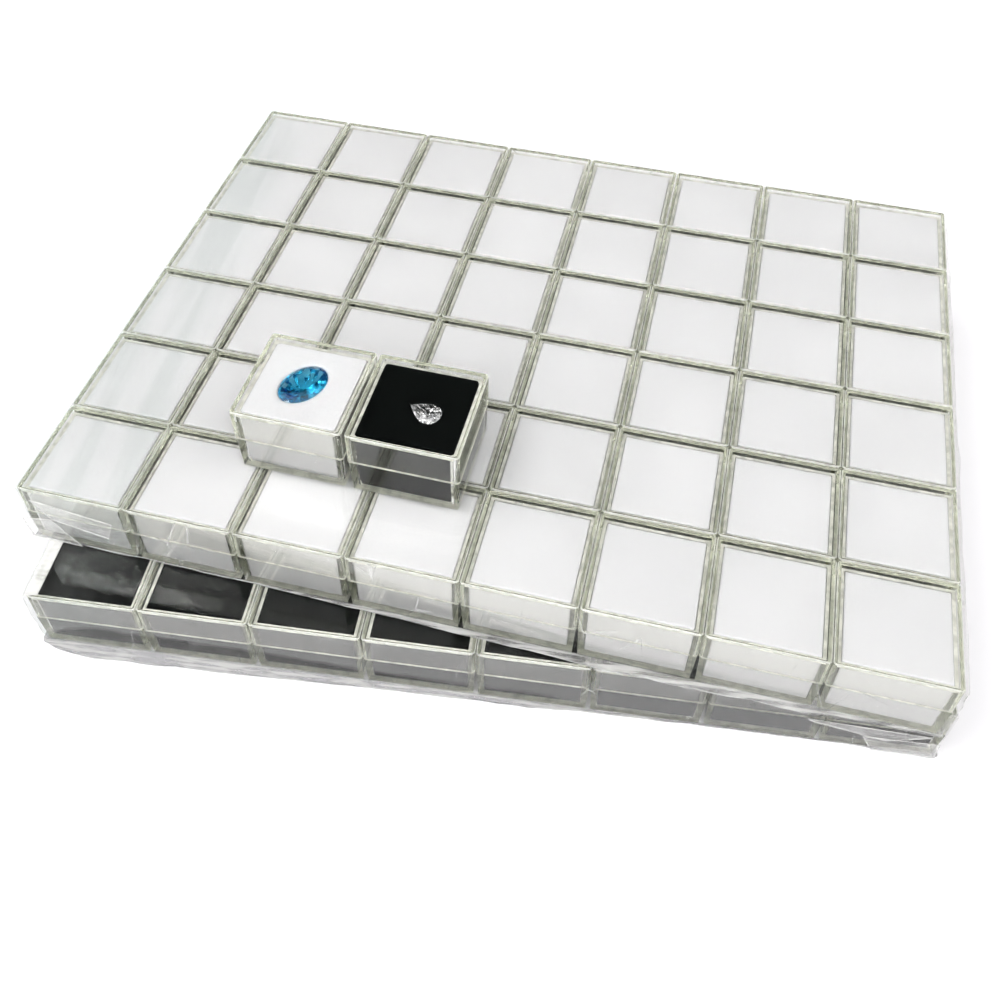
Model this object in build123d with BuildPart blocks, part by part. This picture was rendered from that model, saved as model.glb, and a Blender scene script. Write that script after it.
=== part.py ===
from build123d import *

import os
from math import atan, cos, degrees, pi, sin, sqrt

# A set of small clear storage boxes for cut stones and beads. Two packs, each of 48 boxes in
# shrink film, lie one on the other, a little askew. Two loose boxes with a stone in each stand
# on the upper pack. All sizes are in millimetres and degrees.
# The origin is the middle of the lower pack's underside, with +X along its long side.

# One box. Its lid is a cap that slides down over a collar on the base and rests on a step.
box_side = 29.8
box_height = 21.6
lid_depth = 10.2
lid_wall = 1.0
lid_top = 0.9
lid_clearance = 0.1
collar_wall = 0.9
collar_headroom = 1.0
step_inset = 0.2
foot_inset = 0.6
base_floor = 1.4
seat_gap = 0.05

# Edges. The loose boxes have round corners on their lids and a broken foot, and the packed ones
# are plainer under their film.
corner_chamfer = 0.6
edge_chamfer = 0.3
corner_radius = 1.0
foot_chamfer = 0.35

# Foam pads.
pad_clearance = 0.1
packed_pad_headroom = 0.6
white_pad_headroom = 0.7
black_pad_headroom = 0.4

# A pack: columns along X, rows along Y, and the film round them.
columns = 8
rows = 6
box_spacing = 0.2
film_thickness = 0.15
film_slack = 0.05
seal_width = 3.0
seal_thickness = 0.3

# The upper pack lies on the lower one, moved and turned as it is stacked.
upper_shift_x = 4.3
upper_shift_y = 5.9
upper_turn = -5.9

# The loose boxes, side by side, measured in the upper pack's own frame.
black_box_x = -19.9
black_box_y = -54.6
black_box_turn = -0.4
loose_gap = 0.9
white_box_y = -54.3
white_box_turn = -0.7

# The blue oval stone, placed in the white box's frame.
oval_length = 14.4
oval_width = 10.6
oval_crown = 0.9
oval_girdle = 0.3
oval_pavilion = 4.4
oval_x = -0.7
oval_y = 0.3
oval_turn = 64.0

# The clear pear-shaped stone, placed in the black box's frame.
pear_length = 9.0
pear_width = 6.8
pear_crown = 0.6
pear_girdle = 0.2
pear_pavilion = 2.9
pear_culet_shift = 0.2
pear_x = 2.9
pear_y = -1.2
pear_turn = 161.0

# The cut of both stones: counts, shares of a stone's own half width, crown or pavilion, and the
# small turn, in radians, that finds the girdle's direction at a facet.
main_facets = 8
girdle_sides = 32
table_share = 0.57
star_share = 0.97
break_meet = 0.55
lower_meet = 0.75
culet_share = 0.03
tangent_step = 0.01

# The pocket under a stone: its play as a share of the stone, and how deep the stone's edge sits.
pocket_ease = 0.025
stone_sink = 0.4

# Worked out from the sizes above.
step_height = box_height - lid_depth
rim_height = step_height + seat_gap
ceiling_height = box_height - lid_top
collar_height = ceiling_height - collar_headroom
lid_inside = box_side - 2 * lid_wall
collar_side = lid_inside - 2 * lid_clearance
cavity_side = collar_side - 2 * collar_wall
step_side = box_side - 2 * step_inset
pad_side = cavity_side - 2 * pad_clearance
pad_foot = base_floor + seat_gap
foot_draft = degrees(atan((foot_inset - step_inset) / step_height))
white_box_x = black_box_x - box_side - loose_gap
pitch = box_side + box_spacing
pack_length = columns * pitch
pack_width = rows * pitch
film_inside_height = box_height + film_slack
pack_height = film_inside_height + 2 * film_thickness
film_length = pack_length + 2 * film_thickness
film_width = pack_width + 2 * film_thickness
film_foot_length = film_length - 2 * foot_inset
film_foot_width = film_width - 2 * foot_inset

lower_plane = Plane.XY
upper_plane = Plane(
    origin=(upper_shift_x, upper_shift_y, pack_height + seat_gap),
    x_dir=Vector(1, 0, 0).rotate(Axis.Z, upper_turn),
)


def on_upper_pack(x, y, turn):
    """The plane under a loose box that stands on the upper pack, at a place in the pack's frame."""
    middle = upper_plane.from_local_coords(Vector(x, y, pack_height + seat_gap))
    return Plane(origin=middle, x_dir=Vector(1, 0, 0).rotate(Axis.Z, upper_turn + turn))


white_box_plane = on_upper_pack(white_box_x, white_box_y, white_box_turn)
black_box_plane = on_upper_pack(black_box_x, black_box_y, black_box_turn)

os.makedirs("parts", exist_ok=True)


def save(piece, name):
    """Labels a finished piece and writes it."""
    piece.part.label = name
    export_step(piece.part, f"parts/{name}.step")


# The packed box: a base with a drawn-in foot and a raised collar, open at the top.
with BuildPart() as packed_base:
    with BuildSketch(Plane.XY.offset(step_height)):
        Rectangle(step_side, step_side)
    extrude(amount=-step_height, taper=foot_draft)
    with BuildSketch(Plane.XY.offset(step_height)):
        Rectangle(collar_side, collar_side)
    extrude(amount=collar_height - step_height)
    with BuildSketch(Plane.XY.offset(base_floor)):
        Rectangle(cavity_side, cavity_side)
    extrude(amount=collar_height - base_floor, mode=Mode.SUBTRACT)

# The packed box's lid, a square cap with broken corners.
with BuildPart() as packed_lid:
    with BuildSketch(Plane.XY.offset(rim_height)) as lid_outline:
        Rectangle(box_side, box_side)
        chamfer(lid_outline.vertices(), length=corner_chamfer)
    extrude(amount=box_height - rim_height)
    chamfer(packed_lid.edges().group_by(Axis.Z)[-1], length=edge_chamfer)
    with BuildSketch(Plane.XY.offset(rim_height)):
        Rectangle(lid_inside, lid_inside)
    extrude(amount=ceiling_height - rim_height, mode=Mode.SUBTRACT)

# The packed box's foam block.
with BuildPart() as packed_pad:
    with BuildSketch(Plane.XY.offset(pad_foot)):
        Rectangle(pad_side, pad_side)
    extrude(amount=ceiling_height - packed_pad_headroom - pad_foot)


def broken_square(plane, side):
    """A square with broken corners, drawn on a plane."""
    with BuildSketch(plane) as outline:
        Rectangle(side, side)
        chamfer(outline.vertices(), length=corner_chamfer)
    return outline.sketch


# The loose box's base, with draft on its sides and its corners and foot broken.
with BuildPart() as loose_base:
    step_outline = broken_square(Plane.XY.offset(step_height), step_side)
    extrude(step_outline, amount=-step_height, taper=foot_draft)
    chamfer(loose_base.edges().group_by(Axis.Z)[0], length=foot_chamfer)
    collar_outline = broken_square(Plane.XY.offset(step_height), collar_side)
    extrude(collar_outline, amount=collar_height - step_height)
    cavity_outline = broken_square(Plane.XY.offset(base_floor), cavity_side)
    extrude(cavity_outline, amount=collar_height - base_floor, mode=Mode.SUBTRACT)

# The loose box's lid, with the mould's round corners.
with BuildPart() as loose_lid:
    with BuildSketch(Plane.XY.offset(rim_height)):
        RectangleRounded(box_side, box_side, corner_radius)
    extrude(amount=box_height - rim_height)
    chamfer(loose_lid.edges().group_by(Axis.Z)[-1], length=edge_chamfer)
    hollow_outline = broken_square(Plane.XY.offset(rim_height), lid_inside)
    extrude(hollow_outline, amount=ceiling_height - rim_height, mode=Mode.SUBTRACT)


def row_of(piece, pack_plane, row):
    """Copies of one piece along one row of a pack, on top of the film's floor."""
    with BuildPart(pack_plane.offset(film_thickness)) as group:
        with Locations((0, (row - (rows - 1) / 2) * pitch)):
            with GridLocations(pitch, pitch, columns, 1):
                add(piece, clean=False)
    return group


# The boxes of both packs, row by row from the front.
for pack, plane in (("lower", lower_plane), ("upper", upper_plane)):
    for row in range(rows):
        save(row_of(packed_base.part, plane, row), f"{pack}_base_row_{row + 1}")
        save(row_of(packed_lid.part, plane, row), f"{pack}_lid_row_{row + 1}")
        save(row_of(packed_pad.part, plane, row), f"{pack}_pad_row_{row + 1}")

    # The shrink film is a closed skin round the 48 boxes, drawn in with them towards the foot.
    inside_plane = plane.offset(film_thickness)
    with BuildPart() as film:
        with BuildSketch(plane):
            Rectangle(film_foot_length, film_foot_width)
        with BuildSketch(inside_plane.offset(step_height)):
            Rectangle(film_length, film_width)
        loft(ruled=True)
        with BuildSketch(inside_plane.offset(step_height)):
            Rectangle(film_length, film_width)
        extrude(amount=pack_height - film_thickness - step_height)
        with BuildSketch(inside_plane):
            Rectangle(pack_length - 2 * foot_inset, pack_width - 2 * foot_inset)
        with BuildSketch(inside_plane.offset(step_height)):
            Rectangle(pack_length, pack_width)
        loft(ruled=True, mode=Mode.SUBTRACT)
        with BuildSketch(inside_plane.offset(step_height)):
            Rectangle(pack_length, pack_width)
        extrude(amount=film_inside_height - step_height, mode=Mode.SUBTRACT)
    save(film, f"{pack}_film")

    # The film's welded seam stands out as a flat lip at the foot of the front and both ends.
    with BuildPart() as film_seal:
        with BuildSketch(plane):
            with Locations((0, -seal_width / 2)):
                Rectangle(film_foot_length + 2 * seal_width, film_foot_width + seal_width)
            Rectangle(film_foot_length + 2 * seat_gap, film_foot_width + 2 * seat_gap, mode=Mode.SUBTRACT)
        extrude(amount=seal_thickness)
    save(film_seal, f"{pack}_film_seal")


def oval_outline(turn):
    """A point on the oval stone's girdle, at an angle in radians."""
    return Vector(oval_length / 2 * cos(turn), oval_width / 2 * sin(turn))


def pear_outline(turn):
    """A point on the pear-shaped stone's girdle, with its tip at angle 0 and its culet at the origin."""
    bulge = 4 / (3 * sqrt(3))  # the largest value of sin(turn) * sin(turn / 2)
    across = pear_width / 2 / bulge * sin(turn) * abs(sin(turn / 2))
    return Vector(pear_length / 2 * (cos(turn) + pear_culet_shift), across)


def facet_plane(outline, turn, share, height, apex):
    """The plane that touches a girdle outline, drawn in to a share of its size, at one height,
    and runs up or down to an apex over the culet. Its normal points out of the stone."""
    touch = outline(turn) * share + Vector(0, 0, height)
    along = outline(turn + tangent_step) - outline(turn - tangent_step)
    normal = along.cross(Vector(0, 0, apex) - touch)
    if normal.dot(touch - Vector(0, 0, height)) < 0:
        normal = normal * -1
    return Plane(origin=touch, z_dir=normal)


def pavilion_mains(outline, girdle, pavilion):
    """The main facets under a stone's girdle, whose middle is at height 0."""
    bottom = -girdle / 2
    for index in range(main_facets):
        turn = (2 * index + 1) * pi / main_facets
        yield facet_plane(outline, turn, 1, bottom, bottom - pavilion)


def other_facets(outline, crown, girdle, pavilion):
    """The rest of a brilliant cut's sloping facets: the crown's, and the halves under the girdle."""
    part_turn = pi / main_facets
    half_turn = part_turn / 2
    top = girdle / 2
    bottom = -girdle / 2
    crown_apex = crown / (1 - table_share)
    meet_reach = (1 - break_meet * (1 - table_share)) / cos(part_turn)
    break_apex = break_meet * crown / (1 - meet_reach * cos(half_turn))
    lower_reach = (1 - lower_meet) / cos(part_turn)
    lower_apex = lower_meet * pavilion / (1 - lower_reach * cos(half_turn))
    star_edge = star_share * table_share * cos(part_turn)
    star_apex = star_edge * (1 - break_meet) * crown / (meet_reach - star_edge)
    for index in range(main_facets):
        main = (2 * index + 1) * part_turn
        yield facet_plane(outline, main, 1, top, top + crown_apex)
        star = main + part_turn
        yield facet_plane(outline, star, star_edge, top + crown, top + crown + star_apex)
        for side in (main - half_turn, main + half_turn):
            yield facet_plane(outline, side, 1, top, top + break_apex)
            yield facet_plane(outline, side, 1, bottom, bottom - lower_apex)


def cut_blank(outline, low, high, planes):
    """A blank of a girdle's outline between two heights, cut by planes."""
    with BuildPart() as blank:
        with BuildSketch(Plane.XY.offset(low)):
            with BuildLine():
                corners = [outline(2 * pi * side / girdle_sides) for side in range(girdle_sides)]
                Polyline(*corners, close=True)
            make_face()
        extrude(amount=high - low)
        for plane in planes:
            split(bisect_by=plane, keep=Keep.BOTTOM)
    return blank.part


def cut_stone(outline, crown, girdle, pavilion):
    """A cut stone. The blank's two ends give its table and a small culet."""
    low = -girdle / 2 - pavilion * (1 - culet_share)
    planes = (
        *pavilion_mains(outline, girdle, pavilion),
        *other_facets(outline, crown, girdle, pavilion),
    )
    return cut_blank(outline, low, girdle / 2 + crown, planes)


def stone_plane(box_plane, x, y, turn, pad_top, girdle):
    """The plane through a stone's girdle, sunk a little in the pad's top."""
    height = pad_top - stone_sink - girdle / 2
    middle = box_plane.from_local_coords(Vector(x, y, height))
    return Plane(origin=middle, x_dir=box_plane.x_dir.rotate(Axis.Z, turn))


def pocketed_pad(box_plane, headroom, outline, seat_plane, girdle, pavilion):
    """A foam block with a pocket of the stone's own shape, a little larger, that it is pressed into."""

    def eased_outline(turn):
        return outline(turn) * (1 + pocket_ease)

    eased_pavilion = pavilion * (1 + pocket_ease)
    pocket = cut_blank(
        eased_outline,
        -girdle / 2 - pavilion,
        girdle / 2 + 2 * stone_sink,
        pavilion_mains(eased_outline, girdle, eased_pavilion),
    )
    with BuildPart() as pad:
        pad_outline = broken_square(box_plane.offset(pad_foot), pad_side)
        extrude(pad_outline, amount=ceiling_height - headroom - pad_foot)
        with Locations(seat_plane):
            add(pocket, mode=Mode.SUBTRACT)
    return pad


# The white loose box, with the blue oval stone.
oval_plane = stone_plane(
    white_box_plane, oval_x, oval_y, oval_turn, ceiling_height - white_pad_headroom, oval_girdle
)
with BuildPart(white_box_plane) as white_box_base:
    add(loose_base.part)
save(white_box_base, "white_box_base")

with BuildPart(white_box_plane) as white_box_lid:
    add(loose_lid.part)
save(white_box_lid, "white_box_lid")

white_box_pad = pocketed_pad(
    white_box_plane, white_pad_headroom, oval_outline, oval_plane, oval_girdle, oval_pavilion
)
save(white_box_pad, "white_box_pad")

with BuildPart(oval_plane) as oval_stone:
    add(cut_stone(oval_outline, oval_crown, oval_girdle, oval_pavilion))
save(oval_stone, "oval_stone")

# The black loose box, with the clear pear-shaped stone.
pear_plane = stone_plane(
    black_box_plane, pear_x, pear_y, pear_turn, ceiling_height - black_pad_headroom, pear_girdle
)
with BuildPart(black_box_plane) as black_box_base:
    add(loose_base.part)
save(black_box_base, "black_box_base")

with BuildPart(black_box_plane) as black_box_lid:
    add(loose_lid.part)
save(black_box_lid, "black_box_lid")

black_box_pad = pocketed_pad(
    black_box_plane, black_pad_headroom, pear_outline, pear_plane, pear_girdle, pear_pavilion
)
save(black_box_pad, "black_box_pad")

with BuildPart(pear_plane) as pear_stone:
    add(cut_stone(pear_outline, pear_crown, pear_girdle, pear_pavilion))
save(pear_stone, "pear_stone")
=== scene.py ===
"""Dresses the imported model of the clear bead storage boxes: two film-wrapped packs of 48 boxes,
and two loose boxes with a stone in each on top.

The CAD bases and lids stay and get their materials here. Foam, faceted stones and thin wrinkled
film replace the CAD pads, stones, films and seams. Lengths are in metres, in the frame of the
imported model, except where a comment says millimetres."""

from math import atan2, cos, exp, pi, radians, sin, sqrt

import bpy
from mathutils import Euler, Matrix, Vector, noise


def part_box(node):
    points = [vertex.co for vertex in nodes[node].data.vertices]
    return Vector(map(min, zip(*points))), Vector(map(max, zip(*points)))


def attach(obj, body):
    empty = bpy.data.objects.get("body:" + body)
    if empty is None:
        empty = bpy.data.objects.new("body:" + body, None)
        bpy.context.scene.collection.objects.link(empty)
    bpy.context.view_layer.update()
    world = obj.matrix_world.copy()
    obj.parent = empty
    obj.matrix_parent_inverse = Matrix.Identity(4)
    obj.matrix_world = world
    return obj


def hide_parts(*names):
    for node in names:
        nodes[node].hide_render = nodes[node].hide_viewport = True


mm = 0.001

# The camera, fitted to the corners of the boxes in the photograph.
camera_place = (0.02338, -0.23473, 0.28097)
camera_turn = (43.9055, -0.6284, 7.8094)
camera_lens = 40.836
camera_shift_y = -0.13658
camera_near = 0.01

# How the upper pack and the loose boxes are turned, in degrees.
upper_turn = -5.9
white_box_turn = -6.6
black_box_turn = -6.3

# A pack's layout, the height of a layer of boxes, the height of the step that a lid rests on, and
# how far the foot of a box is drawn in.
columns = 8
rows = 6
pitch = 30 * mm
layer_height = 22.0 * mm
step_height = 11.4 * mm
foot_inset = 0.6 * mm

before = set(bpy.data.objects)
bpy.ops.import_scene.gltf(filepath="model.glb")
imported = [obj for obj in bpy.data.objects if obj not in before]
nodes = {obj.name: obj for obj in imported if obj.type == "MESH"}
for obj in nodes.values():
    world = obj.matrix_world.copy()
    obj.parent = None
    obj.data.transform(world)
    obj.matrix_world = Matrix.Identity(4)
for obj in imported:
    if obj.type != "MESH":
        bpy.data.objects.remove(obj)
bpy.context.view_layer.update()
scene = bpy.context.scene
packs = ("lower", "upper")


def place_of(node, turn):
    """The matrix that puts a form drawn round the Z axis at a node's foot, turned in degrees."""
    low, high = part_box(node)
    middle = (low + high) / 2
    return Matrix.Translation((middle.x, middle.y, low.z)) @ Matrix.Rotation(radians(turn), 4, "Z")


pack_places = {"lower": place_of("lower_film", 0), "upper": place_of("upper_film", upper_turn)}


def wave_at(x, y, z):
    """Smooth noise, about -1 to 1, at a place. It is the same in every run."""
    return noise.noise(Vector((x, y, z)))


def new_material(name):
    """A node material, and its Principled shader."""
    material = bpy.data.materials.new(name)
    material.use_nodes = True
    return material, material.node_tree.nodes["Principled BSDF"]


def feed(tree, socket, value):
    """Links an output to an input, or sets the input to a number or to a colour of three."""
    if isinstance(value, bpy.types.NodeSocket):
        tree.links.new(value, socket)
    else:
        socket.default_value = (*value, 1) if isinstance(value, tuple) else value


def add_node(tree, kind, **values):
    """A new node in a node tree, with input values given by name."""
    node = tree.nodes.new(kind)
    for name, value in values.items():
        node.inputs[name].default_value = value
    return node


def math_node(tree, operation, *values):
    """The result of a Math node, whose inputs are outputs of other nodes or numbers."""
    node = tree.nodes.new("ShaderNodeMath")
    node.operation = operation
    for socket, value in zip(node.inputs, values):
        feed(tree, socket, value)
    return node.outputs["Value"]


def map_range(tree, value, low, high, to_low, to_high):
    """A smooth step of a value from one range to another."""
    node = tree.nodes.new("ShaderNodeMapRange")
    node.interpolation_type = "SMOOTHSTEP"
    for socket, given in zip(node.inputs, (value, low, high, to_low, to_high)):
        feed(tree, socket, given)
    return node.outputs["Result"]


def mix_colour(tree, share, first, second, blend="MIX"):
    """A mix of two colours."""
    mix = tree.nodes.new("ShaderNodeMix")
    mix.data_type = "RGBA"
    mix.blend_type = blend
    for socket, value in zip((mix.inputs[0], mix.inputs[6], mix.inputs[7]), (share, first, second)):
        feed(tree, socket, value)
    return mix.outputs[2]


def mix_shaders(tree, share, first, second):
    """A node that mixes two shader nodes."""
    mix = tree.nodes.new("ShaderNodeMixShader")
    for socket, value in zip(mix.inputs, (share, first.outputs[0], second.outputs[0])):
        feed(tree, socket, value)
    return mix


def object_coordinates(tree):
    """The place of a point on a piece, in metres."""
    return tree.nodes.new("ShaderNodeTexCoord").outputs["Object"]


def parts_of(tree, vector):
    """The X, Y and Z of a vector."""
    split = tree.nodes.new("ShaderNodeSeparateXYZ")
    tree.links.new(vector, split.inputs[0])
    return split.outputs


def facing_up(tree):
    """The Z of a face's own normal: 1 on a top, 0 on a side, -1 on an underside."""
    return parts_of(tree, tree.nodes.new("ShaderNodeNewGeometry").outputs["True Normal"])["Z"]


def noise_at(tree, place, scale, detail=2.0, stretch=None):
    """The value of a noise texture at a place, drawn out along its axes by a stretch below 1."""
    if stretch:
        drawn = add_node(tree, "ShaderNodeMapping", Scale=stretch)
        tree.links.new(place, drawn.inputs["Vector"])
        place = drawn.outputs["Vector"]
    texture = add_node(tree, "ShaderNodeTexNoise", Scale=scale, Detail=detail)
    tree.links.new(place, texture.inputs["Vector"])
    return texture.outputs["Fac"]


def bumped(tree, height, strength, distance):
    """A normal that follows the slopes of a height."""
    bump = add_node(tree, "ShaderNodeBump", Strength=strength, Distance=distance)
    tree.links.new(height, bump.inputs["Height"])
    return bump.outputs["Normal"]


# A noise texture's values lie for the most part in the wide span, and often past the narrow one.
wide_span = (0.3, 0.7)
narrow_span = (0.35, 0.65)

# The boxes' plastic: the stain of its walls and its rims, the white share on its eased edges that
# is a painted highlight, its scuffs, and the Z of the normal where a wall turns into an eased edge,
# and that where it turns into a level face.
wall_stain = (0.972, 0.972, 0.96)
rim_stain = (0.95, 0.95, 0.88)
edge_highlight = 0.4
scuff_scale = 420.0
scuff_detail = 3.0
scuff_depth = (0.8, 1.2)
edge_slope = (0.2, 0.45)
level_slope = (0.85, 0.97)

# Where a level face is matt: two heights in its box, in millimetres, and how matt it is there. The
# margin keeps an underside at height 0 in its own box.
matt_zones = ((0, 0.8, 0.9), (10.9, 12.2, 0.9), (19.0, 20.3, 0.65))
foot_margin = 0.05 * mm
least_matt = 0.01


def frosted_zone(tree):
    """How matt a level face of a box is: its underside, the rims where lid and base meet, and the
    top of the collar."""
    raised = math_node(tree, "ADD", parts_of(tree, object_coordinates(tree))["Z"], foot_margin)
    height = math_node(tree, "MODULO", raised, layer_height)
    total = 0.0
    for low, high, share in matt_zones:
        over = math_node(tree, "GREATER_THAN", height, low * mm)
        under = math_node(tree, "LESS_THAN", height, high * mm)
        matt = math_node(tree, "MULTIPLY", math_node(tree, "MULTIPLY", over, under), share)
        total = math_node(tree, "ADD", matt, total)
    return total


def clear_plastic(name, tint, density, ior, haze=0.0):
    """Clear plastic or glass that colours light a little along its way through. With a haze it is
    a moulded box's: its walls are faintly hazy, its eased edges carry a painted highlight in white,
    broken up by scuffs, and its rims and underside are matt."""
    material, shader = new_material(name)
    tree = material.node_tree
    shader.inputs["Base Color"].default_value = (1, 1, 1, 1)
    shader.inputs["Roughness"].default_value = 0.0
    shader.inputs["IOR"].default_value = ior
    shader.inputs["Transmission Weight"].default_value = 1.0
    if haze:
        slope = math_node(tree, "ABSOLUTE", facing_up(tree))
        scuffs = noise_at(tree, object_coordinates(tree), scuff_scale, scuff_detail)
        depth = map_range(tree, scuffs, *wide_span, *scuff_depth)
        # The white share on the eased edges is a painted highlight, broken up by scuffs; on walls it
        # is a faint haze.
        rising = map_range(tree, slope, *edge_slope, haze, edge_highlight)
        falling = map_range(tree, slope, *level_slope, 1.0, 0.0)
        haze_and_edge_highlight = math_node(tree, "MULTIPLY", rising, falling)
        level = math_node(tree, "SUBTRACT", 1.0, falling)
        frosted = math_node(tree, "MULTIPLY", frosted_zone(tree), level)
        amount = math_node(tree, "MULTIPLY", depth, math_node(tree, "ADD", haze_and_edge_highlight, frosted))
        share = math_node(tree, "SUBTRACT", 1.0, amount)
        tree.links.new(share, shader.inputs["Transmission Weight"])
        stained = mix_colour(tree, falling, (1, 1, 1), wall_stain)
        matt = math_node(tree, "GREATER_THAN", frosted, least_matt)
        tree.links.new(mix_colour(tree, matt, stained, rim_stain), shader.inputs["Base Color"])
    absorption = add_node(tree, "ShaderNodeVolumeAbsorption", Color=(*tint, 1), Density=density)
    tree.links.new(absorption.outputs["Volume"], tree.nodes["Material Output"].inputs["Volume"])
    return material


# The foam's slow change of shade and its pores, each with how finely it comes and what it does to
# the colour.
shade_scale = 35.0
shade_play = (0.97, 1.02)
pore_scale = 1800.0
pore_span = (0.25, 0.6)
pore_play = (0.94, 1.0)
pore_depth = 0.1 * mm
foam_roughness = 0.9

# Painted shade on the cut sides of a foam pad: how much darker than its top they are painted, low
# down and high up in its box, the heights between which that changes, and the Z of the normal
# where a side turns into the top.
painted_side_shades = (0.66, 0.84)
painted_shade_heights = (9 * mm, 13 * mm)
top_slope = (0.3, 0.8)


def foam(name, colour, gloss, grain):
    """Fine cut foam: a grain of small pores, a slowly changing shade, and sides darkened by painted
    shade.
    """
    material, shader = new_material(name)
    tree = material.node_tree
    place = object_coordinates(tree)
    shade = noise_at(tree, place, shade_scale)
    pores = noise_at(tree, place, pore_scale)
    slow = map_range(tree, shade, *wide_span, *shade_play)
    fine = map_range(tree, pores, *pore_span, *pore_play)
    height = math_node(tree, "MODULO", parts_of(tree, place)["Z"], layer_height)
    # Painted shade: a pad's sides are darker than its top, and darker low down in its box than high
    # up.
    side = map_range(tree, height, *painted_shade_heights, *painted_side_shades)
    cut = map_range(tree, facing_up(tree), *top_slope, side, 1.0)
    value = math_node(tree, "MULTIPLY", math_node(tree, "MULTIPLY", slow, fine), cut)
    tinted = mix_colour(tree, 1.0, colour, value, "MULTIPLY")
    tree.links.new(tinted, shader.inputs["Base Color"])
    tree.links.new(bumped(tree, pores, grain, pore_depth), shader.inputs["Normal"])
    shader.inputs["Roughness"].default_value = foam_roughness
    shader.inputs["Specular IOR Level"].default_value = gloss
    return material


# The film's creases, the edges of upright cells that are broken here and there: how white they
# are painted, a painted highlight where they catch the light, how fine the cells and the breaks,
# and the Z of the normal where a side turns into the top.
crease_highlight = 0.26
crease_cells = 75.0
crease_stretch = (1, 1, 0.45)
crease_width = 0.013
break_scale = 55.0
break_span = (0.5, 0.62)
side_slope = (0.3, 0.8)

# The loose film at a pack's left end, which carries painted shade and a painted reflection: where
# it ends along X, its grey tint, which is the painted shade, and its streaks, with the least that
# is left of them.
end_zone = (-100 * mm, -86 * mm)
end_painted_shade = (0.962, 0.97, 0.968)
end_streak_scale = 190.0
end_stretch = (1, 0.08, 0.3)
least_streak = 0.25


def crease_lines(tree, place):
    """Where film is creased: thin broken lines, on its sides only."""
    stretch = add_node(tree, "ShaderNodeMapping", Scale=crease_stretch)
    tree.links.new(place, stretch.inputs["Vector"])
    cells = add_node(tree, "ShaderNodeTexVoronoi", Scale=crease_cells)
    cells.feature = "DISTANCE_TO_EDGE"
    tree.links.new(stretch.outputs["Vector"], cells.inputs["Vector"])
    line = map_range(tree, cells.outputs["Distance"], 0.0, crease_width, 1.0, 0.0)
    kept = map_range(tree, noise_at(tree, place, break_scale), *break_span, 0.0, 1.0)
    broken = math_node(tree, "MULTIPLY", line, kept)
    slope = math_node(tree, "ABSOLUTE", facing_up(tree))
    return math_node(tree, "MULTIPLY", broken, map_range(tree, slope, *side_slope, 1.0, 0.0))


def end_streaks(tree, place):
    """Where a pack's left end, with its loose film, is given painted shade and a painted reflection:
    soft streaks across the end, from front to back.
    """
    streaks = noise_at(tree, place, end_streak_scale, detail=1.0, stretch=end_stretch)
    near_end = map_range(tree, parts_of(tree, place)["X"], *end_zone, 1.0, 0.0)
    strength = map_range(tree, streaks, *narrow_span, least_streak, 1.0)
    return math_node(tree, "MULTIPLY", near_end, strength)


# The film's mirror-like skin: its share of the light where it is seen straight on, how much more
# it gets at a slant, and its ripples. Then the milky white of welds and folds, in streaks.
skin_share = 0.006
slant_share = 0.6
slant_power = 5.0
skin_roughness = 0.03
ripple_scale = 160.0
ripple_strength = 0.35
ripple_depth = 0.4 * mm
clear_film = (0.99, 0.99, 0.99)
milk_white = (0.9, 0.9, 0.88, 1)
streak_scale = 700.0
streak_play = (0.5, 1.5)
fold_stretch = (0.12, 0.3, 0.5)
lip_stretch = (0.12, 1.3, 0.5)


def shrink_film(name, cloud=0.0, clear_tint=clear_film, end_painted_reflection=0.0, stretch=fold_stretch):
    """Thin clear film: see-through, with a mirror-like skin that grows stronger at a slant, white
    lines on its creases that are a painted highlight, and a white cloud where it is welded or
    folded. Near a pack's left end it can carry painted shade and a painted reflection in streaks."""
    material, shader = new_material(name)
    tree = material.node_tree
    tree.nodes.remove(shader)
    place = object_coordinates(tree)
    facing = add_node(tree, "ShaderNodeLayerWeight", Blend=0.5).outputs["Facing"]
    slant = math_node(tree, "POWER", facing, slant_power)
    share = math_node(tree, "MULTIPLY_ADD", slant, slant_share, skin_share)
    clear = add_node(tree, "ShaderNodeBsdfTransparent", Color=(*clear_tint, 1))
    skin = add_node(tree, "ShaderNodeBsdfGlossy", Color=(1, 1, 1, 1), Roughness=skin_roughness)
    ripple = noise_at(tree, place, ripple_scale)
    tree.links.new(bumped(tree, ripple, ripple_strength, ripple_depth), skin.inputs["Normal"])
    milk = add_node(tree, "ShaderNodeBsdfDiffuse", Color=milk_white)
    streaks = noise_at(tree, place, streak_scale, stretch=stretch)
    clouds = [cloud * play for play in streak_play]
    clouded = map_range(tree, streaks, *narrow_span, *clouds)
    # Painted highlight: the creases are whitened with the milky white.
    creased = math_node(tree, "MULTIPLY", crease_lines(tree, place), crease_highlight)
    whitened = math_node(tree, "MAXIMUM", clouded, creased)
    # Near a pack's left end the see-through is greyed in streaks, painted shade, and whitened there,
    # a painted reflection.
    if end_painted_reflection:
        streaked = end_streaks(tree, place)
        tree.links.new(mix_colour(tree, streaked, clear_tint, end_painted_shade), clear.inputs["Color"])
        loose = math_node(tree, "MULTIPLY", streaked, end_painted_reflection)
        whitened = math_node(tree, "MAXIMUM", whitened, loose)
    film = mix_shaders(tree, whitened, mix_shaders(tree, share, clear, skin), milk)
    tree.links.new(film.outputs[0], tree.nodes["Material Output"].inputs["Surface"])
    return material


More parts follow.
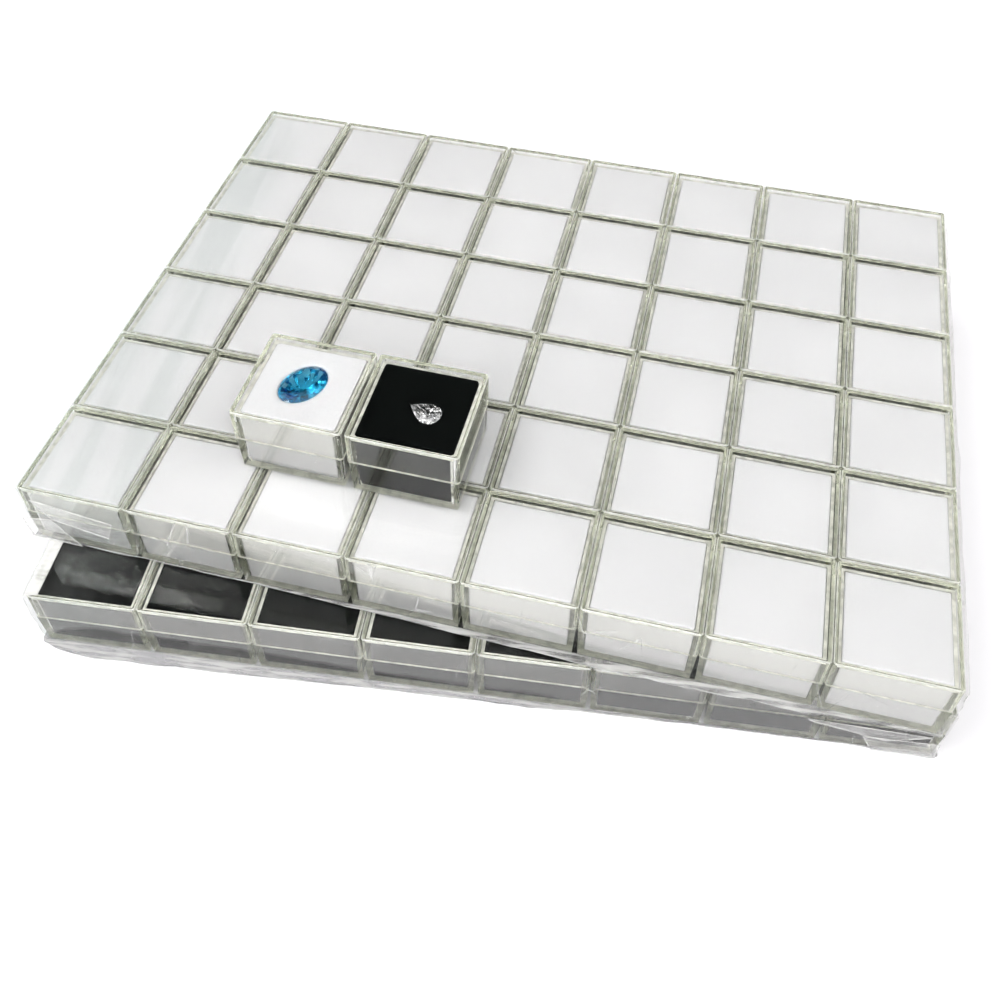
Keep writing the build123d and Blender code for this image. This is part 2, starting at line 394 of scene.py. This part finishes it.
styrene_material = clear_plastic("styrene", (0.62, 0.66, 0.5), 32.0, 1.38, haze=0.004)
white_foam = foam("white_foam", (0.765, 0.765, 0.775), 0.2, 0.2)
black_foam = foam("black_foam", (0.006, 0.0075, 0.007), 0.02, 0.02)
film_material = shrink_film("shrink_film", end_painted_reflection=0.02)
# The welded lip's see-through grey is partly the weld's own tint, partly painted shade at the foot.
lip_material = shrink_film("welded_film", 0.3, (0.78, 0.78, 0.79), stretch=lip_stretch)
fold_material = shrink_film("folded_film", 0.1)
crease_material = shrink_film("creased_film", 0.4)
blue_glass = clear_plastic("blue_stone", (0.005, 0.75, 0.88), 275.0, 1.7)
clear_glass = clear_plastic("clear_stone", (0.95, 0.97, 1.0), 10.0, 2.1)


def new_piece(name, points, faces, material, body, *replaced):
    """A mesh piece that rides on a body and stands for CAD nodes."""
    mesh = bpy.data.meshes.new(name)
    mesh.from_pydata(points, [], faces)
    mesh.materials.append(material)
    mesh.update()
    piece = bpy.data.objects.new(name, mesh)
    scene.collection.objects.link(piece)
    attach(piece, body)
    if replaced:
        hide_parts(*replaced)
    return piece


def finish_foam(piece, slot_name):
    """Shades a foam pad smooth."""
    piece.data.shade_smooth()


def finish_film(piece, thickness):
    """Shades a skin of film smooth and gives it its wall."""
    piece.data.shade_smooth()
    wall = piece.modifiers.new("wall", "SOLIDIFY")
    wall.thickness = thickness
    wall.offset = 0


def box_faces(lengths, corner):
    """The faces of a closed box with a grid on each of its sides. Its points along each axis are
    counted in lengths, and corner gives the number of the point at three places along them."""
    faces = []
    for axis in range(3):
        first, second = [length - 1 for k, length in enumerate(lengths) if k != axis]
        for end in (0, lengths[axis] - 1):
            for i in range(first):
                for j in range(second):
                    ring = []
                    for a, b in ((i, j), (i + 1, j), (i + 1, j + 1), (i, j + 1)):
                        index = [a, b]
                        index.insert(axis, end)
                        ring.append(corner(tuple(index)))
                    outward = (end > 0) != (axis == 1)
                    faces.append(ring if outward else ring[::-1])
    return faces


# Foam pads: soft edges, a slight crown with a slow wave, and sides that pull in between corners.
pad_edge = 0.35 * mm
pad_crown = 0.15 * mm
pad_waist = 0.12 * mm
pad_wave = 0.06 * mm
pad_wave_rate = 120
pad_steps = (0, 0.015, 0.04, 0.1, 0.2, 0.35, 0.5, 0.65, 0.8, 0.9, 0.96, 0.985, 1)

# A pack's foam and its slot. The waves of the upper pads are other ones than the lower pads'.
pad_foams = {"lower": (black_foam, "black_foam"), "upper": (white_foam, "white_foam")}
upper_seed = 100


def soft_block(side, height, seed):
    """A foam block on the XY plane, as points and faces of a closed rounded box."""
    half = Vector((side / 2, side / 2, height / 2))
    inner = half - Vector((pad_edge, pad_edge, pad_edge))
    found = {}
    points = []

    def corner(index):
        """The number of the point at a place of the grid on the box."""
        if index not in found:
            flat = Vector([(2 * pad_steps[i] - 1) * h for i, h in zip(index, half)])
            core = Vector([max(-c, min(c, v)) for v, c in zip(flat, inner)])
            point = core + (flat - core).normalized() * pad_edge
            across = (1 - (flat.x / half.x) ** 2) * (1 - (flat.y / half.y) ** 2)
            level = 1 - (flat.z / half.z) ** 2
            if flat.z > 0:
                wave = noise.noise(Vector((flat.x, flat.y, seed * mm)) * pad_wave_rate)
                point.z += pad_crown * (across - 1) + pad_wave * across * wave
            point.x -= pad_waist * level * (1 - (flat.y / half.y) ** 2) * flat.x / half.x
            point.y -= pad_waist * level * (1 - (flat.x / half.x) ** 2) * flat.y / half.y
            found[index] = len(points)
            points.append(point + Vector((0, 0, half.z)))
        return found[index]

    faces = box_faces([len(pad_steps)] * 3, corner)
    return points, faces


def pad_row(pack, row):
    """The eight pads of one row of a pack, as one piece."""
    low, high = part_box(f"lower_pad_row_{row}")
    film_low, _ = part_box("lower_film")
    side = high.y - low.y
    height = high.z - low.z
    points = []
    faces = []
    for column in range(columns):
        seed = row * columns + column + upper_seed * (pack == "upper")
        block_points, block_faces = soft_block(side, height, seed)
        along = (column - (columns - 1) / 2) * pitch
        middle = Vector((along, (low.y + high.y) / 2, low.z - film_low.z))
        start = len(points)
        points += [pack_places[pack] @ (point + middle) for point in block_points]
        faces += [[start + index for index in face] for face in block_faces]
    material, slot_name = pad_foams[pack]
    name = f"{pack}_foam_row_{row}"
    node = f"{pack}_pad_row_{row}"
    finish_foam(new_piece(name, points, faces, material, f"{pack}_pack", node), slot_name)


for pack in packs:
    for row in range(1, rows + 1):
        pad_row(pack, row)


# The stones. A stone's height is measured from the middle of its girdle, and a share is of its
# girdle's own size. Each tier of its facets is a share, and how far up the crown or down the
# pavilion it lies. The tiers of the pavilion are a little uneven, as in a stone cut for sparkle.
oval_half = (7.2 * mm, 5.3 * mm)
pear_half = (4.5 * mm, 3.4 * mm)
pear_culet = 0.2
crown_tiers = ((0.57, 1.0), (0.78, 0.72), (0.9, 0.4), (1.0, 0.0))
pavilion_tiers = (
    (1.0, 0.0), (0.9, 0.14), (0.74, 0.34), (0.56, 0.52), (0.38, 0.71), (0.2, 0.87), (0.04, 0.98),
)
tier_corners = 24
uneven = 0.3
wobble_rates = (1.7, 2.3)

# A CAD stone's points within this height of its lowest one are its culet's.
culet_depth = 0.01 * mm


def oval_outline(turn):
    """A point on the oval stone's girdle, at an angle in radians."""
    return Vector((oval_half[0] * cos(turn), oval_half[1] * sin(turn), 0))


def pear_outline(turn):
    """A point on the pear-shaped stone's girdle, with its tip at angle 0 and its culet at the
    origin."""
    across = pear_half[1] * 3 * sqrt(3) / 4 * sin(turn) * abs(sin(turn / 2))
    return Vector((pear_half[0] * (cos(turn) + pear_culet), across, 0))


class Stone:
    """A cut stone: its girdle's outline, its sizes, and its place, turned in degrees on its
    culet."""

    def __init__(self, name, outline, crown, girdle, pavilion, turn):
        self.name = name
        self.outline = outline
        self.crown = crown
        self.girdle = girdle
        self.pavilion = pavilion
        points = [nodes[name].matrix_world @ vertex.co for vertex in nodes[name].data.vertices]
        top = max(point.z for point in points)
        bottom = min(point.z for point in points)
        culet = [point for point in points if point.z < bottom + culet_depth]
        middle = sum(culet, Vector()) / len(culet)
        middle.z = top - crown - girdle / 2
        self.place = Matrix.Translation(middle) @ Matrix.Rotation(radians(turn), 4, "Z")

    def facets(self, body, material):
        """The stone as rings of corners with flat triangles between them, closed by the table and
        the culet."""
        rings = [(share, self.girdle / 2 + level * self.crown, 0) for share, level in crown_tiers]
        for share, level in pavilion_tiers:
            play = uneven * min(1, 4 * level) * share
            rings.append((share, -self.girdle / 2 - level * self.pavilion, play))
        points = []
        for number, (share, height, play) in enumerate(rings):
            shift = 0.5 * (number % 2)
            for index in range(tier_corners):
                turn = (index + shift) * 2 * pi / tier_corners
                across, down = index * wobble_rates[0], number * wobble_rates[1]
                wobble = wave_at(across, down, self.crown / mm)
                level = Vector((0, 0, height + play * wobble * self.pavilion))
                point = self.outline(turn) * (share - play * abs(wobble)) + level
                points.append(self.place @ point)
        faces = [list(range(tier_corners))]
        for number in range(len(rings) - 1):
            for index in range(tier_corners):
                after = (index + 1) % tier_corners
                upper = number * tier_corners
                lower = upper + tier_corners
                if number % 2:
                    faces.append((upper + index, lower + after, upper + after))
                    faces.append((upper + index, lower + index, lower + after))
                else:
                    faces.append((upper + index, lower + index, upper + after))
                    faces.append((upper + after, lower + index, lower + after))
        last = (len(rings) - 1) * tier_corners
        faces.append([last + index for index in reversed(range(tier_corners))])
        piece = new_piece(f"{self.name}_facets", points, faces, material, body, self.name)


oval = Stone("oval_stone", oval_outline, 0.9 * mm, 0.3 * mm, 4.4 * mm, 64 + white_box_turn)
pear = Stone("pear_stone", pear_outline, 0.6 * mm, 0.2 * mm, 2.9 * mm, 161 + black_box_turn)
oval.facets("white_box", blue_glass)
pear.facets("black_box", clear_glass)

# The loose pads: foam blocks with a pocket that the stone sits in. The outline of a pad is a
# rounded square, sharper at its corners with a higher power.
pad_spokes = 96
corner_power = 40
corner_crowding = 0.2
side_rises = (0.12, 0.3, 0.6, 0.85)
edge_bends = (0.0, 0.35, 0.7, 1.0)
top_shares = (0.08, 0.2, 0.4, 0.6, 0.8, 0.95)
pocket_play = 0.025
pocket_lip = 0.12 * mm
pocket_rim = 1.01
lip_power = 8


def spoke_turns():
    """The angles of a loose pad's spokes, which stand closer together at its corners."""
    even = [2 * pi * index / pad_spokes for index in range(pad_spokes)]
    return [turn + corner_crowding * sin(4 * turn) for turn in even]


def stone_pad(node, stone, turn, material, slot_name, body):
    """A loose box's foam pad: a ring of spokes, each from the pad's foot up to its top and down
    into the stone's pocket."""
    low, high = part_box(node)
    angle = radians(turn)
    half = (high.x - low.x) / 2 / (cos(angle) + abs(sin(angle)))
    height = high.z - low.z
    to_box = place_of(node, turn)
    culet = to_box.inverted() @ stone.place.translation
    stone_angle = stone.place.to_euler().z - angle
    spokes = spoke_turns()

    def side_ring(inset, level):
        """The pad's outline, drawn in by an inset, with a waist between its corners."""
        ring = []
        for spoke in spokes:
            across, along = cos(spoke), sin(spoke)
            corners = abs(across) ** corner_power + abs(along) ** corner_power
            reach = (half - inset) / corners ** (1 / corner_power)
            swell = (1 - (2 * level / height - 1) ** 2) * cos(2 * spoke) ** 2
            waist = 1 - pad_waist / half * swell
            ring.append(Vector((across * reach * waist, along * reach * waist, level)))
        return ring

    def pocket_ring(share, level):
        """The pocket's outline, a little larger than the stone."""
        ring = []
        for spoke in spokes:
            point = stone.outline(spoke - stone_angle) * share * (1 + pocket_play)
            point.rotate(Euler((0, 0, stone_angle)))
            ring.append(Vector((culet.x, culet.y, level)) + point)
        return ring

    rings = [side_ring(pad_edge, 0)]
    rings += [side_ring(0, rise * height) for rise in side_rises]
    for bend in edge_bends:
        inset = pad_edge * (1 - cos(bend * pi / 2))
        rings.append(side_ring(inset, height - pad_edge * (1 - sin(bend * pi / 2))))
    rim = height - pocket_lip
    outer_ring = side_ring(pad_edge, height)
    inner_ring = pocket_ring(pocket_rim, rim)
    for share in top_shares:
        ring = []
        for outer, inner in zip(outer_ring, inner_ring):
            point = outer.lerp(inner, share)
            place = Vector((point.x, point.y, to_box.translation.x)) * pad_wave_rate
            swell = noise.noise(place) * pad_wave * share * (1 - share) * 4
            point.z = height + swell - pocket_lip * share ** lip_power
            ring.append(point)
        rings.append(ring)
    girdle_foot = culet.z - stone.girdle / 2
    rings.append(pocket_ring(1.0, rim - pocket_lip))
    for share, level in pavilion_tiers:
        depth = level * stone.pavilion * (1 + 2 * pocket_play)
        rings.append(pocket_ring(share, girdle_foot - depth))
    points = [to_box @ point for ring in rings for point in ring]
    faces = [list(range(pad_spokes))[::-1]]
    for ring in range(len(rings) - 1):
        for s in range(pad_spokes):
            corners = ((ring, s), (ring, s + 1), (ring + 1, s + 1), (ring + 1, s))
            faces.append([pad_spokes * r + c % pad_spokes for r, c in corners])
    faces.append([pad_spokes * (len(rings) - 1) + s for s in range(pad_spokes)])
    name = node.replace("pad", "foam")
    finish_foam(new_piece(name, points, faces, material, body, node), slot_name)


stone_pad("white_box_pad", oval, white_box_turn, white_foam, "white_foam", "white_box")
stone_pad("black_box_pad", pear, black_box_turn, black_foam, "black_foam", "black_box")


# The moulded boxes. Their lids get the sharp CAD edges eased.
eased_edge = 0.12 * mm
eased_angle = radians(35)
weld_distance = 0.001 * mm


def ease_edges(node):
    """Rounds the edges of a moulded part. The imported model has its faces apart, so they are joined
    first."""
    join = node.modifiers.new("join", "WELD")
    join.merge_threshold = weld_distance
    round_off = node.modifiers.new("round", "BEVEL")
    round_off.width = eased_edge
    round_off.segments = 2
    round_off.limit_method = "ANGLE"
    round_off.angle_limit = eased_angle
    round_off.harden_normals = True
    round_off.use_clamp_overlap = True


for name, node in nodes.items():
    if "base" in name or "lid" in name:
        node.material_slots[0].material = styrene_material
        if "lid" in name:
            ease_edges(node)

# The film round a pack: its thickness, its soft edges with the steps of its grid near them, and
# how far it hangs off the boxes at one end.
film_sheet = 0.06 * mm
film_edge = 0.5 * mm
film_near = (0, 0.15, 0.35, 0.6, 1.0, 1.8)
film_step = 2.5 * mm
film_slack = {"lower": 1.1 * mm, "upper": 1.0 * mm}
slack_side = {"lower": -1, "upper": 1}
slack_rise = 4 * mm
slack_play = (0.8, 0.5)
film_seeds = {"lower": 2.1, "upper": 7.3}

# Its wrinkles: how far each kind stands off, in millimetres, and how often it comes to a millimetre
# along a side and up it. The folds of a fan run from a pack's lower corners, within a reach.
wave_height, wave_rates = 0.12, (0.11, 0.35)
ripple_height, ripple_rates = 0.05, (0.35, 0.08)
foot_ripple = 0.22
foot_zone = 1.3 * step_height
top_height, top_rates = 0.02, (0.05, 0.09)
top_normal = 0.9
fan_height = 0.35
fan_reach = 22
fan_folds = 19
fan_wander, wander_rate = 3, 0.1


def film_grid(half):
    """Places from one end of a side to the other, close together at both ends."""
    near = [value * film_edge for value in film_near]
    first = near[-1]
    count = max(2, round((2 * half - 2 * first) / film_step))
    inside = [-half + first + (2 * half - 2 * first) * i / count for i in range(1, count)]
    left = [-half + value for value in near]
    return left + inside + [-value for value in reversed(left)]


def wrinkle(pack, flat, normal, rise, half):
    """How far a pack's film stands off its boxes at a place on its sides, so far above its foot."""
    seed = film_seeds[pack]
    on_front = abs(normal.y) > abs(normal.x)
    along, reach = (flat.x, half.x) if on_front else (flat.y, half.y)
    near = (reach - abs(along)) / mm
    along /= mm
    up = rise / mm
    turn = atan2(up + 1, near + 1)
    wander = fan_wander * wave_at(near * wander_rate, seed, 0)
    fan = exp(-near / fan_reach) * (0.5 + 0.5 * sin(turn * fan_folds + seed + wander))
    waves = wave_at(along * wave_rates[0], up * wave_rates[1], seed)
    ripple = wave_at(along * ripple_rates[0], up * ripple_rates[1], seed + 5)
    low_share = max(0, 1 - rise / foot_zone)
    low_folds = low_share * (fan_height * fan + foot_ripple * abs(ripple))
    tight = (wave_height * abs(waves) + ripple_height * ripple + low_folds) * mm
    side_share = 1 - abs(normal.z)
    loose = film_slack[pack] * side_share * max(0, normal.x * slack_side[pack])
    loose *= min(1, rise / slack_rise) * (slack_play[0] + slack_play[1] * waves)
    return (tight + loose) * side_share


def film_skin(pack):
    """The film's skin round a pack, drawn in towards its foot and wrinkled on its sides."""
    low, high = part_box("lower_film")
    half = (high - low) / 2 - Vector((1, 1, 1)) * film_sheet
    inner = half - Vector((1, 1, 1)) * film_edge
    steps = [film_grid(value) for value in half]
    found = {}
    points = []

    def corner(index):
        """The number of the point at a place of the grid on the film."""
        if index not in found:
            flat = Vector([steps[axis][i] for axis, i in enumerate(index)])
            core = Vector([max(-c, min(c, v)) for v, c in zip(flat, inner)])
            normal = (flat - core).normalized()
            point = core + normal * film_edge
            rise = point.z + half.z
            draw = foot_inset * max(0, 1 - rise / step_height)
            point.x -= draw * point.x / half.x
            point.y -= draw * point.y / half.y
            point += normal * wrinkle(pack, flat, normal, rise, half)
            if normal.z > top_normal:
                across, along = flat.x / mm * top_rates[0], flat.y / mm * top_rates[1]
                point.z += wave_at(across, along, film_seeds[pack]) * top_height * mm
            found[index] = len(points)
            points.append(pack_places[pack] @ (point + Vector((0, 0, half.z + film_sheet))))
        return found[index]

    faces = box_faces([len(places) for places in steps], corner)
    name = f"{pack}_shrink_film"
    skin = new_piece(name, points, faces, film_material, f"{pack}_pack", f"{pack}_film")
    finish_film(skin, film_sheet)


for pack in packs:
    film_skin(pack)

# The welded seam: a thin lip of film with a bead at its edge, round the foot of the front and ends.
# The front's widths are places along the pack with the width there, all in millimetres.
lip_step = 1.5 * mm
lip_widths = {
    "lower": (
        (-120, 1.2), (-116, 3.0), (-105, 4.2), (-90, 3.9), (-62, 3.5), (-35, 2.4),
        (0, 1.9), (15, 1.8), (27, 1.0), (60, 0.5), (101, 0.2), (106, 0.9), (120, 0.9),
    ),
    "upper": (
        (-120, 0.5), (-60, 0.5), (-16, 1.4), (11, 2.2), (52, 2.9), (87, 2.2), (103, 1.0),
        (120, 0.8),
    ),
}
end_lip_width = 1.2
lip_shares = (0.0, 0.15, 0.35, 0.6, 0.85, 1.0)
corner_bends = (0.25, 0.5, 0.75)
lip_thickness = 0.05 * mm
lip_seeds = {"lower": 3.1, "upper": 8.7}

# How high the lip's root lies, how far it starts inside the film and droops to its edge, and its
# waves, each with its rates to a millimetre: how much its width changes, the mean and the play
# of its long waves, which curl up at the edge, and its ripples.
lip_rise = 0.25 * mm
lip_tuck = 0.1 * mm
lip_droop = 0.1 * mm
width_play, width_rate = 0.25, 0.07
long_wave, long_rate = (0.3, 0.5), 0.16
short_ripple, short_rates = 0.15 * mm, (0.3, 2)
lip_curl = 1.5

# The bead at the lip's edge and the creases round a fold are thin tubes with so many sides.
tube_sides = 6
bead_radius = 0.14 * mm
fold_radius = 0.09 * mm


def tube_ring(middle, across, other, radius):
    """The points of one ring of a tube, in the plane of two directions."""
    turns = [2 * pi * side / tube_sides for side in range(tube_sides)]
    return [middle + (across * cos(turn) + other * sin(turn)) * radius for turn in turns]


def tube_faces(start, rings, spans):
    """The faces between the rings of a tube whose points follow each other from a start. A closed
    tube has as many spans as rings, an open one has one less."""
    faces = []
    for number in range(spans):
        here = start + number * tube_sides
        there = start + (number + 1) % rings * tube_sides
        for side in range(tube_sides):
            after = (side + 1) % tube_sides
            faces.append((here + side, there + side, there + after, here + after))
    return faces


def lip_path(half_x, half_y):
    """Places along the foot of a pack, and the directions outward, with a fan at each front
    corner."""
    runs = (
        (Vector((-half_x, half_y, 0)), Vector((-half_x, -half_y, 0)), Vector((-1, 0, 0))),
        (Vector((-half_x, -half_y, 0)), Vector((half_x, -half_y, 0)), Vector((0, -1, 0))),
        (Vector((half_x, -half_y, 0)), Vector((half_x, half_y, 0)), Vector((1, 0, 0))),
    )
    for start, end, outward in runs:
        count = round((end - start).length / lip_step)
        for index in range(count + 1):
            yield start.lerp(end, index / count), outward
        if outward.x < 1:
            for part in corner_bends:
                yield end, Matrix.Rotation(part * pi / 2, 3, "Z") @ outward


def lip_width(pack, x):
    """How wide the front's lip is at a place along the pack, both in millimetres."""
    marks = lip_widths[pack]
    for (start, first), (end, second) in zip(marks, marks[1:]):
        if x <= end:
            return first + (second - first) * max(0, x - start) / (end - start)
    return marks[-1][1]


def seam_lip(pack):
    """The wavy lip of a pack's film, wider and lower in some places than in others."""
    low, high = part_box("lower_film")
    half_x = (high.x - low.x) / 2 - foot_inset
    half_y = (high.y - low.y) / 2 - foot_inset
    seed = lip_seeds[pack]
    points = []
    faces = []
    beads = []
    for number, (root, outward) in enumerate(lip_path(half_x, half_y)):
        run = number * lip_step / mm
        width = lip_width(pack, root.x / mm) if outward.y < -0.5 else end_lip_width
        width *= (1 + width_play * wave_at(run * width_rate, seed, 0)) * mm
        wave = (long_wave[0] + long_wave[1] * wave_at(run * long_rate, seed, 4)) * mm
        for share in lip_shares:
            ripple = wave_at(run * short_rates[0], share * short_rates[1], seed)
            ripple *= short_ripple * share
            level = lip_rise + (wave * share ** lip_curl + abs(ripple)) - lip_droop * share
            points.append(root + outward * (width * share - lip_tuck) + Vector((0, 0, level)))
        beads.append((points[-1], outward))
    span = len(lip_shares)
    for number in range(len(beads) - 1):
        for share in range(span - 1):
            first = number * span + share
            faces.append((first, first + 1, first + span + 1, first + span))
    faces += tube_faces(len(points), len(beads), len(beads) - 1)
    for edge, outward in beads:
        points += tube_ring(edge, outward, Vector((0, 0, 1)), bead_radius)
    points = [pack_places[pack] @ point for point in points]
    name = f"{pack}_seam_lip"
    lip = new_piece(name, points, faces, lip_material, f"{pack}_pack", f"{pack}_film_seal")
    finish_film(lip, lip_thickness)


for pack in packs:
    seam_lip(pack)

# Folds of film that lie on a pack. Each has its pack, the plane it lies on, how far off it lies,
# and its four corners on that plane, in millimetres from the pack's middle and foot.
flaps = {
    "upper_left_fold": (
        "upper", "front", 0.5, ((-117, 17.9), (-112.5, 10.8), (-96.5, 7.3), (-94, 14.4)),
    ),
    "upper_left_ear": (
        "upper", "front", 0.9, ((-121.5, 9), (-120.5, 1.2), (-106, 1.0), (-112.5, 10.8)),
    ),
    "lower_right_fold": (
        "lower", "front", 0.5, ((85.4, 12.1), (86.4, 11.2), (106.1, 5.9), (117, 10.4)),
    ),
    "lower_right_tail": (
        "lower", "front", 0.9, ((100.3, 7.0), (103.6, 0.9), (119.6, 0.9), (119.4, 7.6)),
    ),
    "lower_left_fold": (
        "lower", "top", 0.35, ((-120.4, -90), (-116.8, -89), (-116.6, -46), (-120.4, -40)),
    ),
}
flap_steps = 12
flap_lift, flap_swell, flap_ripple = 0.5, 0.4, 0.5
flap_rates = (0.35, 0.6)
flap_clearance = 0.12 * mm


def film_flap(name, pack, plane, off, corners):
    """A fold of film, slightly swollen and rippled, with a crease round it."""
    low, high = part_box("lower_film")
    front = -(high.y - low.y) / 2
    height = high.z - low.z

    def on_pack(along, up, lift):
        """A point on the fold's plane, lifted off it."""
        if plane == "front":
            return Vector((along, front - lift, up))
        return Vector((along, up, height + lift))

    grid = []
    for i in range(flap_steps + 1):
        u = i / flap_steps
        row = []
        for j in range(flap_steps + 1):
            v = j / flap_steps
            start = Vector(corners[0]).lerp(Vector(corners[1]), u)
            end = Vector(corners[3]).lerp(Vector(corners[2]), u)
            flat = start.lerp(end, v)
            ripple = wave_at(flat.x * flap_rates[0], flat.y * flap_rates[1], len(name))
            swell = 16 * u * (1 - u) * v * (1 - v)
            lift = off * (flap_lift + flap_swell * swell + flap_ripple * ripple * swell) * mm
            row.append(on_pack(flat.x * mm, flat.y * mm, max(lift, flap_clearance)))
        grid.append(row)
    points = [point for row in grid for point in row]
    side = flap_steps + 1
    faces = []
    for i in range(flap_steps):
        for j in range(flap_steps):
            first = i * side + j
            faces.append((first, first + side, first + side + 1, first + 1))
    first_edges = grid[0][:-1] + [row[-1] for row in grid[:-1]]
    loop = first_edges + grid[-1][:0:-1] + [row[0] for row in grid[:0:-1]]
    faces += tube_faces(len(points), len(loop), len(loop))
    for number, point in enumerate(loop):
        along = (loop[(number + 1) % len(loop)] - loop[number - 1]).normalized()
        across = along.orthogonal().normalized()
        points += tube_ring(point, across, along.cross(across), fold_radius)
    points = [pack_places[pack] @ point for point in points]
    inside = fold_material if plane == "front" else crease_material
    piece = new_piece(name, points, faces, inside, f"{pack}_pack")
    piece.data.materials.append(crease_material)
    for face in piece.data.polygons[flap_steps ** 2:]:
        face.material_index = 1
    finish_film(piece, lip_thickness)


for name, (pack, plane, off, corners) in flaps.items():
    film_flap(name, pack, plane, off, corners)


# The floor.
floor_half = 30.0
floor_level = -0.02 * mm
floor_colour = (0.94, 0.935, 0.95, 1)
floor_roughness = 0.8
floor_corners = [(x * floor_half, y * floor_half) for x, y in ((-1, -1), (1, -1), (1, 1), (-1, 1))]
floor_mesh = bpy.data.meshes.new("floor")
floor_mesh.from_pydata([(x, y, floor_level) for x, y in floor_corners], [], [(0, 1, 2, 3)])
floor = bpy.data.objects.new("floor", floor_mesh)
scene.collection.objects.link(floor)
floor_material, floor_shader = new_material("floor")
floor_shader.inputs["Base Color"].default_value = floor_colour
floor_shader.inputs["Roughness"].default_value = floor_roughness
floor_mesh.materials.append(floor_material)


# The studio: soft light from above, the left and the front, and a dark side behind the object.
# Each part of the glow is two values of a direction, and the light at each.
glow_behind = (0.2, 0.5, 1.0, 0.012)
glow_left = (-0.9, -0.2, 1.3, 1.0)
glow_above = (0.0, 0.85, 0.6, 1.2)
glow_strength = 1.22
low_glow = (0.92, 0.91, 1)
high_glow = (1, 0.995, 0.99)
high_from = 0.7

# Small bright lamps that make the stones and the film sparkle: the directions they are in, the
# cosines of the angles from their soft edge to their full light, and that light.
lamps = ((-0.5, -0.3, 0.8), (0.45, -0.5, 0.75), (-0.1, -0.75, 0.6))
lamp_edge = (0.986, 0.992)
lamp_strength = 7.6


def studio_world():
    """Soft white light that falls off behind the object, so that the lids mirror little of it."""
    world = bpy.data.worlds.new("studio")
    scene.world = world
    world.use_nodes = True
    tree = world.node_tree
    direction = tree.nodes.new("ShaderNodeTexCoord").outputs["Generated"]
    x, y, z = parts_of(tree, direction)
    behind = map_range(tree, y, *glow_behind)
    left = map_range(tree, x, *glow_left)
    above = map_range(tree, z, *glow_above)
    glow = math_node(tree, "MULTIPLY", math_node(tree, "MULTIPLY", behind, left), above)
    strength = math_node(tree, "MULTIPLY", glow, glow_strength)
    for lamp in lamps:
        near = tree.nodes.new("ShaderNodeVectorMath")
        near.operation = "DOT_PRODUCT"
        near.inputs[1].default_value = Vector(lamp).normalized()
        tree.links.new(direction, near.inputs[0])
        spot = map_range(tree, near.outputs["Value"], *lamp_edge, 0.0, lamp_strength)
        strength = math_node(tree, "ADD", strength, spot)
    tree.links.new(strength, tree.nodes["Background"].inputs["Strength"])
    height = map_range(tree, z, 0.0, high_from, 0.0, 1.0)
    colour = mix_colour(tree, height, low_glow, high_glow)
    tree.links.new(colour, tree.nodes["Background"].inputs["Color"])


studio_world()

camera_data = bpy.data.cameras.new("camera")
camera_data.lens = camera_lens
camera_data.shift_y = camera_shift_y
camera_data.clip_start = camera_near
camera = bpy.data.objects.new("camera", camera_data)
camera.location = camera_place
camera.rotation_euler = Euler([radians(angle) for angle in camera_turn], "XYZ")
scene.collection.objects.link(camera)
scene.camera = camera

scene.view_settings.view_transform = "Standard"
scene.view_settings.gamma = 0.88
scene.cycles.max_bounces = 32
scene.cycles.transmission_bounces = 32
scene.cycles.glossy_bounces = 24
scene.cycles.transparent_max_bounces = 32
scene.cycles.diffuse_bounces = 3
scene.cycles.blur_glossy = 0
